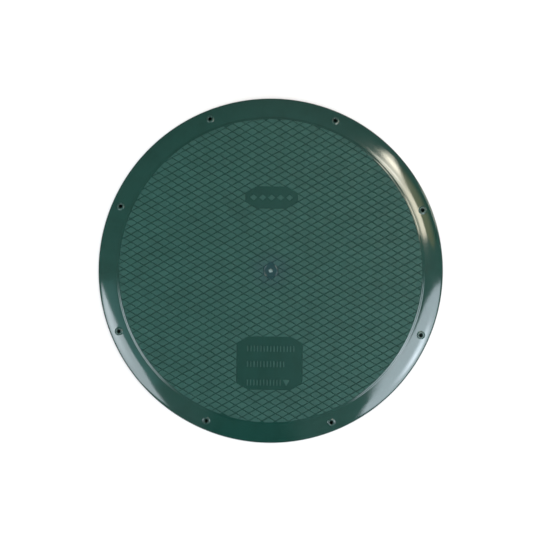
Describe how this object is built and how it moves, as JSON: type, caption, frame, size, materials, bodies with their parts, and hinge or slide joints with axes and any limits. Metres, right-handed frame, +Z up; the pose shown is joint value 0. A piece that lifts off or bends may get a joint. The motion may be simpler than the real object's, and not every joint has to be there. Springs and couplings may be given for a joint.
{
  "type": "screw-down manhole cover",
  "caption": "Round green plastic riser cover with a diamond tread deck, sloping screw-down rim, hanging skirt, ribbed underside and a foam gasket ring.",
  "frame": {"origin": "on the cover's axis, at the foot of the skirt", "axes": "+Z up through the tread deck along the axis of symmetry, +Y from the centre towards the small panel"},
  "size_m": [0.692, 0.692, 0.057],
  "materials": {
    "cover_plastic": "satin injection-moulded polyethylene",
    "gasket_foam": "closed-cell polyurethane foam with a matt skin"
  },
  "bodies": {
    "root": {"cover": "cover_plastic", "gasket": "gasket_foam"}
  },
  "joints": []
}
